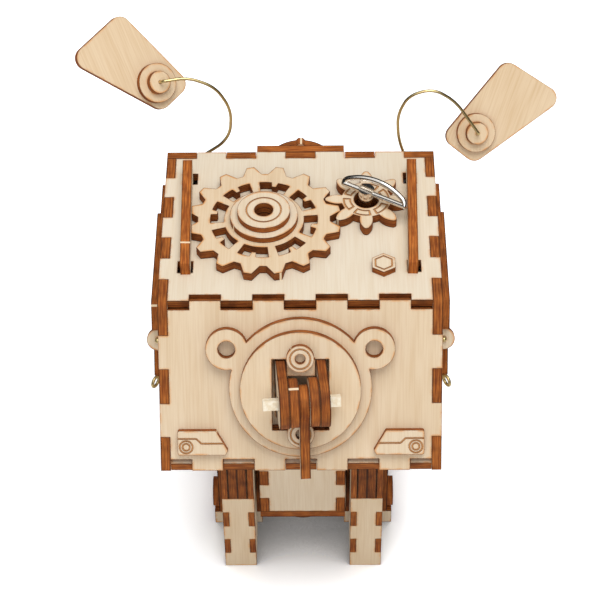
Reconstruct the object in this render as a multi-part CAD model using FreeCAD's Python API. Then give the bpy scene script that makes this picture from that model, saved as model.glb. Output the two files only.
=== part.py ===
import FreeCAD, Part
import math
import os

from FreeCAD import Matrix, Placement, Rotation, Vector

# Lengths are in millimetres and angles in degrees. While the pieces are drawn, x runs across the
# box, y runs from the tail panel to the face and z is up, from the middle of the top's near edge.
# At the end everything is moved so that it stands on z = 0 with the origin between its feet.

# Sheet, fits and marks
ply = 3.0
thin_ply = 2.0
kerf = 0.1
slot_play = 0.3
running_gap = 0.06
engraving_width = 0.35
engraving_depth = 0.2

# Body box
box_width = 85.0
box_depth = 65.4
tail_slant = 53.0
tail_tilt = 33.0
end_fingers = 9
side_fingers = 7
slant_fingers = 5
finger_recess = 0.7
stand_height = 118.0

# Rails on the top
rail_inset = 7.8
rail_shift = -0.27
rail_splay = 1.25
rail_near = 10.9
rail_far_gap = 9.4
rail_height = 5.3
rail_front_height = 4.7
rail_slope_length = 8.7
rail_tab_length = 4.3
rail_tab_inset = 1.0

# Large static gear and its hub
big_gear_left_of_key = 31.55
big_gear_before_key = 8.5
big_gear_teeth = 16
big_gear_tip = 23.7
big_gear_root = 20.3
big_tooth_tip_width = 2.4
big_tooth_base_width = 5.9
window_count = 8
window_inner = 12.3
window_outer = 16.5
window_angle = 34.0
window_nub_depth = 1.9
window_nub_width = 2.6
hub_lower_radius = 10.4
hub_upper_radius = 8.1
hub_hole_radius = 2.9
hub_mark_radius = 5.3

# Small static gear round the key
key_side_inset = 22.05
key_face_inset = 25.3
small_gear_teeth = 8
small_gear_turn = -1.0
small_gear_tip = 12.75
small_gear_root = 7.7
petal_width = 3.7
petal_neck_width = 3.2
petal_tip_width = 2.0
small_gear_hole = 3.86
small_gear_marks = 6
small_mark_inner = 4.85
small_mark_outer = 7.15
small_mark_angle = 46.0
small_mark_turn = 18.0
key_hole_radius = 4.0

# Hexagon beside it
hex_side_inset = 17.3
hex_y = 13.6
hex_flats = 7.0
hex_mark_flats = 5.3

# Wind-up key
key_hub_radius = 2.45
key_hub_top = 7.4
key_hub_length = 10.2
key_wire_radius = 0.85
key_bar_height = 6.25
key_bow_length = 21.2
key_bow_depth = 4.4
key_bow_corner = 2.2
key_bow_shift = 2.6
key_turned = -30.0
key_bow_raised = 60.0
arbor_radius = 1.2

# Round plates on the tail panel
ring_radius = 21.4
ring_centre_slant = 26.35
lobe_radius = 6.3
lobe_x = 22.0
lobe_slant = 14.3
lobe_hole_radius = 2.6
tail_disc_radius = 18.1
tail_slot_top = 16.5
tail_slot_bottom = 38.45
washer_radius = 4.1
washer_hole_radius = 1.5
washer_mark_radius = 3.0
upper_washer_slant = 15.4
lower_washer_slant = 39.2
stop_top = 12.2
stop_shoulder = 16.0
stop_bottom = 21.1
stop_neck_width = 4.2

# Corner tags on the tail panel
tag_side_inset = 5.3
tag_bottom_inset = 5.5
tag_length = 15.2
tag_height = 7.7
tag_slope = 3.6
tag_toe = 1.4
tag_mark_drop = 2.5
tag_mark_step = 1.5
tag_mark_length = 5.7
tag_circle_inset = 2.6
tag_circle_outer = 1.95
tag_circle_inner = 1.1

# Tail: two fixed cheeks, and two spacers and a blade that swing on a square axle
cheek_layer = 2
tail_axle_slant = 28.1
tail_axle_out = 12.0
tail_lean = 4.5
tail_twist = 2.0
tail_axle_side = 3.0
tail_axle_left = 12.1
tail_axle_right = 11.0
cheek_radius = 7.5
cheek_shoulder = 2.5
spacer_radius = 7.3
blade_radius = 5.3
blade_kink_slant = 40.4
blade_kink_out = 11.3
blade_tip_slant = 53.0
blade_tip_out = 8.2
blade_tip_width = 3.2
blade_root_width = 3.4

# Shields and plates on the box's sides, measured from the top's near edge
shield_top = 10.5
shield_near = 9.6
shield_brow = 5.3
shield_brow_drop = 17.6
shield_length = 43.1
shield_cheek = 6.7
shield_chin = 1.6
shield_chin_drop = 35.0
shield_toe = 6.0
shield_bottom_inset = 5.1
side_plate_length = 13.1
side_plate_inset = 3.9
lug_radius = 3.4
lug_hole_radius = 0.75
lug_neck_width = 4.4
lug_out = 1.4
lug_y = 5.9
lug_drop = 23.2
lug_notch_height = 9.2
lug_notch_depth = 6.1
lug_pin_head = 0.85
screw_eye_drop = 36.0
screw_eye_out = 1.1
screw_eye_radius = 1.7
screw_eye_wire = 0.5
screw_eye_neck = 0.8
screw_eye_grip = 1.2
screw_eye_turn = 30.0

# Face
nose_bar_width = 27.8
nose_bar_height = 9.0
nose_disc_radius = 11.6
nose_disc_drop = 11.9
nose_tip_base = 3.1
nose_tip_top = 1.4
nose_tip_height = 0.95
nose_button_radius = 7.8
nose_pad_width = 9.0
nose_pad_height = 6.0
eye_x = 24.5
eye_drop = 25.0
eye_ring_radius = 9.5
eye_window_radius = 5.6
pupil_radius = 4.2

# Ears: each wire's route and its end are measured across, out and up from its socket, and each
# plate's outline outwards and up from where the wire meets it
ear_wire_radius = 0.5
ear_inset = 8.5
ear_pivot_drop = 7.0
ear_socket_radius = 3.6
ear_wire_out = 4.0
ear_bend = 1.3
ear_boss_lower = 6.2
ear_boss_upper = 3.5
ear_corner = 3.7
ear_standoff = 2.4
left_ear = {"side": -1, "facing": (0.434, -0.622, 0.652), "pointing": (-0.752, 0.150, 0.643),
            "outline": [(-6.8, -9.9), (6.0, -6.8), (10.9, 27.2), (-11.7, 21.6)],
            "end": (-11.2, 6.2, 30.6), "route": [(11.4, 9.1), (12.3, 21.5), (7.5, 30.9), (-0.7, 34.7)]}
right_ear = {"side": 1, "facing": (0.107, -0.801, 0.590), "pointing": (0.737, 0.462, 0.493),
             "outline": [(-6.2, -9.3), (7.3, -7.0), (11.7, 29.0), (-10.6, 22.9)],
             "end": (22.1, 6.7, 8.9),
             "route": [(-2.7, 9.0), (-3.15, 19.0), (0.1, 26.9), (7.7, 29.6), (14.9, 24.4)]}

# Torso under the box
torso_width = 28.0
torso_near = -3.7
torso_length = 50.0
torso_height = 54.4
torso_finger = 7.0
under_plate_radius = 10.0
under_plate_inset = 1.15

# Hind legs
hip_gap = 5.0
hind_leg_x = 20.8
hind_leg_width = 10.4
hind_leg_near = -10.7
hind_front_length = 36.2
hind_front_fingers = 5
hind_leg_depth = 16.0
hind_hip_radius = 8.9
hind_knee_height = 26.0
hind_axle_gap = 1.8

# Front legs
front_leg_x = 21.4
front_leg_near = 7.4
front_leg_depth = 15.0
front_core_layers = 4
front_hip_radius = 10.6
front_foot_length = 32.6
front_cap_inner = 7.5
front_cap_outer = 8.6
ankle_disc_radius = 5.0
leg_axle_radius = 1.5

# Wind-up movement under the top
base_length = 54.0
base_width = 41.0
base_thick = 3.0
base_left_of_key = 41.45
base_face_gap = 1.8
base_screw_inset = 3.0
drum_radius = 11.8
drum_height = 13.0
drum_wall = 0.8
wheel_radius = 14.0
wheel_thick = 1.6
wheel_teeth = 35
crown_tooth = 0.8
wheel_rim = 1.7
pinion_teeth = 12
pinion_width = 1.4
tooth_depth = 0.7
tooth_gap = 0.05
cylinder_radius = 6.5
cylinder_drop = 14.6
cylinder_left_of_key = 33.45
cylinder_arbor = 1.0
bearing_width = 6.0
bearing_thick = 2.0
end_play = 0.3
pin_height = 0.4
pin_width = 0.3
pin_rows = 3
comb_teeth = 18
comb_pitch = 0.95
comb_thick = 1.5
comb_tip_gap = 0.7
comb_length = 12.6
comb_back = 5.5
comb_slot = 0.24
comb_screw_inset = 4.0
worm_wheel_radius = 7.0
worm_wheel_thick = 1.2
worm_wheel_teeth = 24
worm_radius = 1.3
worm_length = 6.0
worm_shaft_radius = 0.5
fan_radius = 4.0
fan_height = 3.0
fan_thick = 0.4
frame_width = 5.0
frame_arm = 1.5
spring_turns = 6
spring_strip = 0.4
screw_head_radius = 2.0
screw_head_height = 1.3
screw_radius = 0.9
screw_grip = 2.0

# Sizes that follow
slant_sin = math.sin(math.radians(tail_tilt))
slant_cos = math.cos(math.radians(tail_tilt))
box_height = tail_slant * slant_cos + ply * slant_sin
bottom_top = box_height - ply
bottom_near = finger_recess - bottom_top * slant_sin / slant_cos
slant_notch = ply / slant_cos
half_width = box_width / 2
key_x = half_width - key_side_inset
key_y = box_depth - key_face_inset
big_gear_x = key_x - big_gear_left_of_key
big_gear_y = key_y - big_gear_before_key
hex_x = half_width - hex_side_inset
rail_far = box_depth - rail_far_gap
rail_outer = half_width - rail_inset + ply / 2
rail_inner = rail_outer - ply
cheek_low = tail_axle_slant + cheek_radius
cheek_high = tail_slot_top + kerf + (cheek_layer + 1 / 2) * ply * math.sin(math.radians(tail_twist))
ear_pivot_x = half_width - ear_inset
side_plate_far = box_depth - side_plate_inset
shield_far = side_plate_far - side_plate_length
shield_bottom = box_height - shield_bottom_inset
torso_far = torso_near + torso_length
torso_low = -box_height - torso_height
torso_fingers = int((torso_height - ply) // torso_finger)
hind_leg_half = hind_leg_width / 2
hind_hip = (hind_leg_near + hind_hip_radius, -box_height - hip_gap - hind_hip_radius)
hind_axle = (torso_near + ply + hind_axle_gap + leg_axle_radius, hind_hip[1])
hind_front_top = hind_front_length - stand_height
front_leg_half = ply + front_core_layers * thin_ply / 2
front_hip = (front_leg_near + front_hip_radius, -box_height - hip_gap - front_hip_radius)
feet_far = front_leg_near + front_foot_length
feet_middle = (hind_leg_near + feet_far) / 2

right = Vector(1, 0, 0)
away = Vector(0, 1, 0)
upward = Vector(0, 0, 1)
up_slant = Vector(0, slant_sin, slant_cos)
outward = right.cross(up_slant)
beyond = 1.0

# The tail's layers lean to one side and are twisted a little in the plane of the panel
lean = math.radians(tail_lean)
twist = math.radians(tail_twist)
tail_side = right * math.cos(twist) + up_slant * math.sin(twist)
tail_up = up_slant * math.cos(twist) - right * math.sin(twist)
tail_across = tail_side * math.cos(lean) - outward * math.sin(lean)
tail_out = outward * math.cos(lean) + tail_side * math.sin(lean)
tail_pivot = up_slant * -tail_axle_slant + (outward * math.cos(lean) + right * math.sin(lean)) * tail_axle_out
tail_origin = tail_pivot + tail_up * tail_axle_slant - tail_out * tail_axle_out


def sheet(points, thickness, start=0.0):
    """Flat piece with straight edges, drawn in the plane of its face."""
    corners = [Vector(across, up, start) for across, up in points]
    return Part.Face(Part.makePolygon(corners + corners[:1])).extrude(Vector(0, 0, thickness))


def disc(radius, thickness, centre=(0.0, 0.0), start=0.0):
    return Part.makeCylinder(radius, thickness, Vector(centre[0], centre[1], start))


def block(low_x, high_x, low_y, high_y, low_z, high_z):
    return Part.makeBox(high_x - low_x, high_y - low_y, high_z - low_z, Vector(low_x, low_y, low_z))


def lay(shape, origin, across, up):
    """Takes a piece drawn flat to its place, with its drawn axes along across and up."""
    out = across.cross(up)
    matrix = Matrix(across.x, up.x, out.x, origin.x, across.y, up.y, out.y, origin.y,
                    across.z, up.z, out.z, origin.z, 0, 0, 0, 1)
    placed = shape.copy()
    placed.Placement = Placement(matrix).multiply(shape.Placement)
    return placed


def on_slant(shape, out=0.0):
    """Piece drawn with x across and y up the tail panel, from the top's near edge."""
    return lay(shape, outward * out, right, up_slant)


def on_side(shape, x):
    """Piece drawn with y and z as its two axes, with its thickness towards +x."""
    return lay(shape, Vector(x, 0, 0), away, upward)


def on_face(shape, y):
    """Piece drawn as seen from the face's side, with its thickness towards +y."""
    return lay(shape, Vector(0, y, 0), right * -1, upward)


def mirrored(shape):
    return shape.mirror(Vector(0, 0, 0), right)


def both(shape):
    return Part.Compound([mirrored(shape), shape])


def turned(shape, angle, centre=Vector(0, 0, 0), axis=upward):
    copy = shape.copy()
    copy.rotate(centre, axis, angle)
    return copy


def notched(shape, start, end, inward, count, first, depth, thickness=ply):
    """Cuts the notches for a neighbour's fingers: every other step from start to end, first one first."""
    step = (Vector(end[0], end[1], 0) - Vector(start[0], start[1], 0)) * (1 / count)
    along = Vector(step).normalize() * (kerf / 2)
    into = Vector(inward[0], inward[1], 0)
    cutters = []
    for number in range(first - 1, count, 2):
        low = Vector(start[0], start[1], 0) + step * number - along
        high = Vector(start[0], start[1], 0) + step * (number + 1) + along
        corners = [low - into * beyond, high - into * beyond, high + into * depth, low + into * depth]
        cutters.append(sheet([(p.x, p.y) for p in corners], thickness + 2 * beyond, -beyond))
    return shape.cut(cutters)


def is_upright(edge):
    """An edge of a flat piece that runs through its thickness."""
    return edge.BoundBox.ZLength > edge.BoundBox.XLength + edge.BoundBox.YLength


def ring_mark(radius, centre, surface):
    """Engraved circle, as the solid that is cut out."""
    outer = disc(radius + engraving_width / 2, beyond, centre, surface - engraving_depth)
    return outer.cut(disc(radius - engraving_width / 2, beyond, centre, surface - engraving_depth))


def line_mark(points, surface):
    """Engraved line through the points, as the solid that is cut out."""
    strokes = []
    for first, last in zip(points, points[1:]):
        run = Vector(last[0] - first[0], last[1] - first[1], 0)
        stroke = block(0, run.Length, -engraving_width / 2, engraving_width / 2, 0, beyond)
        stroke.rotate(Vector(0, 0, 0), upward, math.degrees(math.atan2(run.y, run.x)))
        stroke.translate(Vector(first[0], first[1], surface - engraving_depth))
        strokes.append(stroke)
    return strokes[0].fuse(strokes[1:]) if len(strokes) > 1 else strokes[0]


def sector(inner, outer, angle, thickness, start=0.0):
    """Piece of a flat ring, centred on the x axis."""
    wedge = Part.makeCylinder(outer, thickness, Vector(0, 0, start), upward, angle)
    wedge.rotate(Vector(0, 0, 0), upward, -angle / 2)
    return wedge.cut(disc(inner, thickness, start=start))


def polygon(count, flats, thickness, start=0.0):
    radius = flats / 2 / math.cos(math.pi / count)
    points = []
    for number in range(count):
        angle = math.radians(90 + 360 / count * number)
        points.append((radius * math.cos(angle), radius * math.sin(angle)))
    return sheet(points, thickness, start)


def bent_wire(points, radius, bends):
    """Round wire along straight runs joined by tangent arcs, one bend radius for each inner point."""
    edges = []
    start = points[0]
    for before, corner, after, bend in zip(points, points[1:], points[2:], bends):
        back = (before - corner).normalize()
        ahead = (after - corner).normalize()
        half_angle = back.getAngle(ahead) / 2
        inside = (back + ahead).normalize()
        first = corner + back * (bend / math.tan(half_angle))
        last = corner + ahead * (bend / math.tan(half_angle))
        middle = corner + inside * (bend / math.sin(half_angle) - bend)
        edges.append(Part.LineSegment(start, first).toShape())
        edges.append(Part.Arc(first, middle, last).toShape())
        start = last
    edges.append(Part.LineSegment(start, points[-1]).toShape())
    heading = (points[1] - points[0]).normalize()
    section = Part.Wire([Part.makeCircle(radius, points[0], heading)])
    return Part.Wire(edges).makePipeShell([section], True, False)


def widest_bends(points):
    """Bend radii as large as the runs beside each inner point allow."""
    bends = []
    for before, corner, after in zip(points, points[1:], points[2:]):
        turn = math.pi - (before - corner).getAngle(after - corner)
        shorter = min((before - corner).Length, (after - corner).Length)
        bends.append(0.45 * shorter / math.tan(turn / 2))
    return bends


# Box panels

def top_panel():
    panel = block(-half_width, half_width, 0, box_depth, 0, ply)
    far_corner = box_depth - ply
    for side in (-1, 1):
        panel = notched(panel, (side * half_width, far_corner), (side * half_width, 0), (-side, 0),
                        side_fingers, 1, ply)
    panel = notched(panel, (-half_width, box_depth), (half_width, box_depth), (0, -1), end_fingers, 1, ply)
    panel = notched(panel, (-half_width, 0), (half_width, 0), (0, 1), end_fingers, 2, ply * slant_cos)
    holes = [disc(key_hole_radius, ply, (key_x, key_y))]
    for x, y in base_screws:
        holes.append(disc(screw_radius - kerf, screw_grip, (x, y)))
    swing = (rail_far - rail_near) / 2 * math.sin(math.radians(rail_splay))
    for side in (-1, 1):
        inner = rail_inner - swing - abs(rail_shift) - kerf
        outer = rail_outer + swing + side * rail_shift + kerf
        for low, high in rail_tabs():
            slot = block(inner, outer, low - slot_play, high + slot_play, -beyond, ply + beyond)
            holes.append(slot if side > 0 else mirrored(slot))
    return lay(panel.cut(holes), Vector(0, 0, -ply), right, away)


def bottom_panel():
    panel = block(-half_width, half_width, bottom_near, box_depth, 0, ply)
    for side in (-1, 1):
        panel = notched(panel, (side * half_width, box_depth - ply), (side * half_width, bottom_near),
                        (-side, 0), side_fingers, 1, ply)
    panel = notched(panel, (-half_width, box_depth), (half_width, box_depth), (0, -1), end_fingers, 1, ply)
    panel = notched(panel, (-half_width, bottom_near), (half_width, bottom_near), (0, 1), end_fingers, 2,
                    slant_notch)
    return lay(panel, Vector(0, 0, -box_height), right, away)


def tail_panel():
    panel = block(-half_width, half_width, -tail_slant, 0, 0, ply)
    for side in (-1, 1):
        panel = notched(panel, (side * half_width, 0), (side * half_width, -tail_slant), (-side, 0),
                        slant_fingers, 1, ply)
    panel = notched(panel, (-half_width, 0), (half_width, 0), (0, -1), end_fingers, 1,
                    ply * slant_cos + slot_play)
    panel = notched(panel, (-half_width, -tail_slant), (half_width, -tail_slant), (0, 1), end_fingers, 1,
                    slant_notch)
    wide = ply + 2 * kerf
    slot = block(-cheek_low - kerf, kerf - cheek_high, -2 * ply, ply, 0, wide)
    return on_slant(panel, -ply).cut([tail_layer(slot, layer, wide) for layer in (-cheek_layer, cheek_layer)])


def face_panel():
    panel = block(-half_width, half_width, -box_height, 0, 0, ply)
    for side in (-1, 1):
        panel = notched(panel, (side * half_width, 0), (side * half_width, -box_height), (-side, 0),
                        slant_fingers, 2, ply)
    panel = notched(panel, (-half_width, 0), (half_width, 0), (0, -1), end_fingers, 2, ply)
    panel = notched(panel, (-half_width, -box_height), (half_width, -box_height), (0, 1), end_fingers, 2, ply)
    wire_hole = disc(ear_wire_radius + running_gap, ply, (ear_pivot_x, -ear_pivot_drop))
    return on_face(panel.cut([wire_hole, mirrored(wire_hole)]), box_depth - ply)


def side_panel():
    """Right-hand side, with its near edge along the slant."""
    foot_y = -tail_slant * slant_sin
    foot_z = -tail_slant * slant_cos
    inner_foot_y = foot_y + ply * slant_cos
    outline = [(0, 0), (box_depth, 0), (box_depth, -box_height), (inner_foot_y, -box_height), (foot_y, foot_z)]
    panel = sheet(outline, ply)
    far_corner = box_depth - ply
    panel = notched(panel, (far_corner, 0), (0, 0), (0, -1), side_fingers, 2, ply)
    panel = notched(panel, (far_corner, -box_height), (bottom_near, -box_height), (0, 1), side_fingers, 2, ply)
    panel = notched(panel, (box_depth, 0), (box_depth, -box_height), (-1, 0), slant_fingers, 1, ply)
    panel = notched(panel, (0, 0), (foot_y, foot_z), (slant_cos, -slant_sin), slant_fingers, 2, ply)
    panel = on_side(panel, half_width - ply)
    return panel.cut(lug_neck(kerf / 2))


# Rails and plates on the top

def rail_tabs():
    """Both tabs' ends along the rail."""
    first = rail_near + rail_tab_inset
    last = rail_far - rail_tab_inset
    return [(first, first + rail_tab_length), (last - rail_tab_length, last)]


def rail_place(shape, side):
    """The rails stand a little askew in their wide slots, further apart towards the face."""
    middle = Vector((rail_inner + rail_outer) / 2, (rail_near + rail_far) / 2, 0)
    placed = turned(shape, -rail_splay, middle)
    if side < 0:
        placed = mirrored(placed)
    placed.translate(Vector(rail_shift, 0, 0))
    return placed


def top_rails():
    outline = [(rail_near, 0), (rail_near, rail_front_height), (rail_near + rail_slope_length, rail_height),
               (rail_far, rail_height), (rail_far, 0)]
    rail = sheet(outline, ply)
    for low, high in rail_tabs():
        rail = rail.fuse(sheet([(low, 0), (high, 0), (high, -ply), (low, -ply)], ply))
    rail = on_side(rail.removeSplitter(), rail_inner)
    return Part.Compound([rail_place(rail, side) for side in (-1, 1)])


def big_gear():
    points = []
    for number in range(big_gear_teeth):
        angle = math.radians(90 + 360 / big_gear_teeth * (number + 1 / 2))
        centre = Vector(math.cos(angle), math.sin(angle), 0)
        across = Vector(-centre.y, centre.x, 0)
        for half, radius in ((-big_tooth_base_width / 2, big_gear_root), (-big_tooth_tip_width / 2, big_gear_tip),
                             (big_tooth_tip_width / 2, big_gear_tip), (big_tooth_base_width / 2, big_gear_root)):
            corner = centre * math.sqrt(radius ** 2 - half ** 2) + across * half
            points.append((corner.x, corner.y))
    gear = sheet(points, ply).cut(disc(hub_hole_radius, ply))
    window = sector(window_inner, window_outer, window_angle, ply)
    nub = sheet([(window_outer + beyond, -window_nub_width / 2), (window_outer + beyond, window_nub_width / 2),
                 (window_outer - window_nub_depth, window_nub_width / 4),
                 (window_outer - window_nub_depth, -window_nub_width / 4)], ply)
    window = window.cut(nub)
    windows = [turned(window, 90 + 360 / window_count * (number - 1 / 4)) for number in range(window_count)]
    gear = gear.cut(windows)
    gear.translate(Vector(big_gear_x, big_gear_y, 0))
    return between_rails(gear)


def between_rails(gear):
    """The teeth that would reach a rail are cut off flat beside it."""
    strip = block(rail_inner - kerf, half_width, rail_near, rail_far, -beyond, ply + beyond)
    return gear.cut([rail_place(strip, side) for side in (-1, 1)])


def gear_hub_lower():
    centre = (big_gear_x, big_gear_y)
    return disc(hub_lower_radius, thin_ply, centre, ply).cut(disc(hub_hole_radius, thin_ply, centre, ply))


def gear_hub_upper():
    centre = (big_gear_x, big_gear_y)
    foot = ply + thin_ply
    plate = disc(hub_upper_radius, thin_ply, centre, foot)
    return plate.cut([disc(hub_hole_radius, thin_ply, centre, foot),
                      ring_mark(hub_mark_radius, centre, foot + thin_ply)])


def petal():
    """One tooth of the small gear, along the x axis."""
    neck_x = small_gear_root - beyond
    belly_x = (small_gear_root + small_gear_tip) / 2
    tip_x = small_gear_tip - petal_tip_width / 3
    neck, belly, tip = petal_neck_width / 2, petal_width / 2, petal_tip_width / 2
    edges = [Part.Arc(Vector(neck_x, -neck, 0), Vector(belly_x, -belly, 0), Vector(tip_x, -tip, 0)),
             Part.Arc(Vector(tip_x, -tip, 0), Vector(small_gear_tip, 0, 0), Vector(tip_x, tip, 0)),
             Part.Arc(Vector(tip_x, tip, 0), Vector(belly_x, belly, 0), Vector(neck_x, neck, 0)),
             Part.LineSegment(Vector(neck_x, neck, 0), Vector(neck_x, -neck, 0))]
    return Part.Face(Part.Wire([edge.toShape() for edge in edges])).extrude(Vector(0, 0, ply))


def small_gear():
    petals = [turned(petal(), 360 / small_gear_teeth * number + small_gear_turn)
              for number in range(small_gear_teeth)]
    gear = disc(small_gear_root, ply).fuse(petals).removeSplitter()
    cuts = [disc(small_gear_hole, ply)]
    mark = sector(small_mark_inner, small_mark_outer, small_mark_angle, beyond, ply - engraving_depth)
    inset = math.degrees(engraving_width / small_mark_inner)
    mark = mark.cut(sector(small_mark_inner + engraving_width, small_mark_outer - engraving_width,
                           small_mark_angle - 2 * inset, beyond, ply - engraving_depth))
    cuts += [turned(mark, small_mark_turn + 360 / small_gear_marks * number) for number in range(small_gear_marks)]
    gear = gear.cut(cuts)
    gear.translate(Vector(key_x, key_y, 0))
    return between_rails(gear)


def hex_plate():
    plate = polygon(6, hex_flats, thin_ply)
    mark = polygon(6, hex_mark_flats, beyond, thin_ply - engraving_depth)
    mark = mark.cut(polygon(6, hex_mark_flats - 2 * engraving_width, beyond, thin_ply - engraving_depth))
    plate = plate.cut(mark)
    plate.translate(Vector(hex_x, hex_y, 0))
    return plate


# Plates on the tail panel, drawn with y as minus the distance down the slant

def tail_slot(thickness):
    half = tail_slot_half()
    return block(-half, half, -tail_slot_bottom, -tail_slot_top, -beyond, thickness + beyond)


def tail_slot_half():
    """Half the slot's width: the leaning, twisted five-layer stack has to pass through it."""
    drift = (tail_axle_slant - tail_slot_top) * math.sin(twist)
    return (cheek_layer + 1 / 2) * ply / math.cos(lean) + 2 * ply * math.tan(lean) + drift + kerf


def ring_plate():
    centre = (0, -ring_centre_slant)
    plate = disc(ring_radius, ply, centre)
    holes = [tail_slot(ply)]
    for side in (-1, 1):
        lobe = (side * lobe_x, -lobe_slant)
        plate = plate.fuse(disc(lobe_radius, ply, lobe))
        holes.append(disc(lobe_hole_radius, ply, lobe))
    return on_slant(plate.removeSplitter().cut(holes))


def tail_disc():
    plate = disc(tail_disc_radius, ply, (0, -ring_centre_slant))
    return on_slant(plate.cut(tail_slot(ply)), ply)


def stop_plate():
    """Its neck is glued on the disc, under the upper washer, and its wide end crosses the slot."""
    middle = (2 * ply + thin_ply / 2) * math.tan(lean)
    middle -= (tail_axle_slant - (stop_shoulder + stop_bottom) / 2) * math.sin(twist)
    half = ply + ply / 2 - slot_play
    neck = stop_neck_width / 2
    plate = block(middle - half, middle + half, -stop_bottom, -stop_shoulder, 0, thin_ply)
    plate = plate.fuse(block(-neck, neck, -stop_bottom, -stop_top, 0, thin_ply))
    return on_slant(plate.removeSplitter(), 2 * ply)


def tail_washers():
    """The upper one is glued on the stop plate and the lower one on the disc."""
    washers = []
    for slant, out in ((upper_washer_slant, 2 * ply + thin_ply), (lower_washer_slant, 2 * ply)):
        centre = (0, -slant)
        washer = disc(washer_radius, thin_ply, centre)
        washer = washer.cut([disc(washer_hole_radius, thin_ply, centre),
                             ring_mark(washer_mark_radius, centre, thin_ply)])
        washers.append(on_slant(washer, out))
    return Part.Compound(washers)


def corner_tags():
    outer = half_width - tag_side_inset
    inner = outer - tag_length
    shoulder = inner + tag_slope
    low = tag_bottom_inset - tail_slant
    high = low + tag_height
    tag = sheet([(outer, high), (shoulder, high), (inner, low + tag_toe), (inner + tag_toe / 2, low),
                 (outer, low)], thin_ply)
    corners = [edge for edge in tag.Edges if is_upright(edge) and edge.BoundBox.XMin > shoulder]
    tag = tag.makeFillet(tag_toe / 2, corners)
    mark_y = high - tag_mark_drop
    step_x = outer - tag_mark_length
    mark = line_mark([(outer + beyond, mark_y), (step_x, mark_y),
                      (step_x - tag_mark_step, mark_y - tag_mark_step),
                      (inner - beyond, mark_y - tag_mark_step)], thin_ply)
    centre = (outer - tag_circle_inset, low + tag_circle_inset)
    circles = [ring_mark(radius, centre, thin_ply) for radius in (tag_circle_outer, tag_circle_inner)]
    return both(on_slant(tag.cut([mark] + circles)))


# Tail: its profiles are drawn with x as the distance out of the panel and y up the slant

def tail_layer(profile, layer, thickness=ply):
    """Stands one layer of the tail in the slot: layer 0 is the middle one, +1 the next to the right."""
    return lay(profile, tail_origin + tail_across * (layer * ply - thickness / 2), tail_up, tail_out)


def square_hole(thickness, play=0.0):
    half = tail_axle_side / 2 + play
    return block(-tail_axle_slant - half, half - tail_axle_slant, tail_axle_out - half, tail_axle_out + half,
                 0, thickness)


def tail_cheeks():
    """Each reaches from its shoulders behind the panel out to the axle."""
    axle = (-tail_axle_slant, tail_axle_out)
    inner = -ply - (cheek_layer + 1 / 2) * ply * math.tan(lean) - kerf
    shoulder_y = 2 * ply
    reach = math.hypot(tail_axle_slant - cheek_high, axle[1] - shoulder_y)
    tangent = math.atan2(shoulder_y - axle[1], tail_axle_slant - cheek_high) + math.acos(cheek_radius / reach)
    profile = sheet([(-cheek_low, inner), (-cheek_high, inner), (-cheek_high, shoulder_y),
                     (axle[0] + cheek_radius * math.cos(tangent), axle[1] + cheek_radius * math.sin(tangent)),
                     axle, (-cheek_low, axle[1])], ply)
    shoulders = block(-cheek_low - cheek_shoulder, cheek_shoulder - cheek_high, inner - ply, inner, 0, ply)
    hole = disc(math.hypot(tail_axle_side / 2, tail_axle_side / 2) + running_gap, ply, axle)
    cheek = profile.fuse([shoulders, disc(cheek_radius, ply, axle)]).removeSplitter().cut(hole)
    return Part.Compound([tail_layer(cheek, layer) for layer in (-cheek_layer, cheek_layer)])


def tail_spacers():
    spacer = disc(spacer_radius, ply - kerf, (-tail_axle_slant, tail_axle_out))
    spacer = spacer.cut(square_hole(ply - kerf))
    return Part.Compound([tail_layer(spacer, layer, ply - kerf) for layer in (-1, 1)])


def tail_blade():
    """Arm that leaves the axle, kinks in front of the lower washer and ends past the panel's edge."""
    axle = Vector(-tail_axle_slant, tail_axle_out, 0)
    kink = Vector(-blade_kink_slant, blade_kink_out, 0)
    run = (kink - axle).normalize()
    side = Vector(run.y, -run.x, 0)
    shoulder = axle + side * (blade_radius - kerf)
    root = axle - side * (blade_root_width / 2)
    heel = (-lower_washer_slant - washer_radius - slot_play, 2 * ply + thin_ply + slot_play)
    arm = sheet([(shoulder.x, shoulder.y), (kink.x, kink.y), (-blade_tip_slant, blade_tip_out),
                 (-blade_tip_slant, blade_tip_out - blade_tip_width), heel, (root.x, root.y)], ply)
    blade = arm.fuse(disc(blade_radius, ply, (axle.x, axle.y))).removeSplitter()
    return tail_layer(blade.cut(square_hole(ply)), 0)


def tail_axle():
    stick = square_hole(tail_axle_left + tail_axle_right)
    return lay(stick, tail_origin - tail_across * tail_axle_left, tail_up, tail_out)


# Sides of the box

def side_shields():
    """Each is notched at its near edge, round the lug."""
    notch_top = lug_notch_height / 2 - lug_drop
    notch_low = notch_top - lug_notch_height
    notch = lug_y + lug_notch_depth
    outline = [(shield_far, -shield_top), (shield_near, -shield_top), (shield_brow, -shield_brow_drop),
               (shield_brow, notch_top), (notch, notch_top), (notch, notch_low),
               (shield_cheek, notch_low), (shield_chin, -shield_chin_drop), (shield_toe, -shield_bottom),
               (shield_far, -shield_bottom)]
    return both(on_side(sheet(outline, ply), half_width).cut(screw_eye_shank()[0]))


def side_rear_plates():
    plate = sheet([(shield_far, -shield_top), (side_plate_far, -shield_top),
                   (side_plate_far, -shield_bottom), (shield_far, -shield_bottom)], thin_ply)
    return both(on_side(plate, half_width))


def lug_place():
    """Middle of the hole in the right-hand lug."""
    return Vector(half_width + lug_out, lug_y, -lug_drop)


def lug_neck(play):
    half = lug_neck_width / 2 + play
    neck = block(-ply - lug_out - beyond, lug_radius / 2, -half, half, -thin_ply / 2 - play, thin_ply / 2 + play)
    return lay(neck, lug_place(), right, up_slant)


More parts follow.
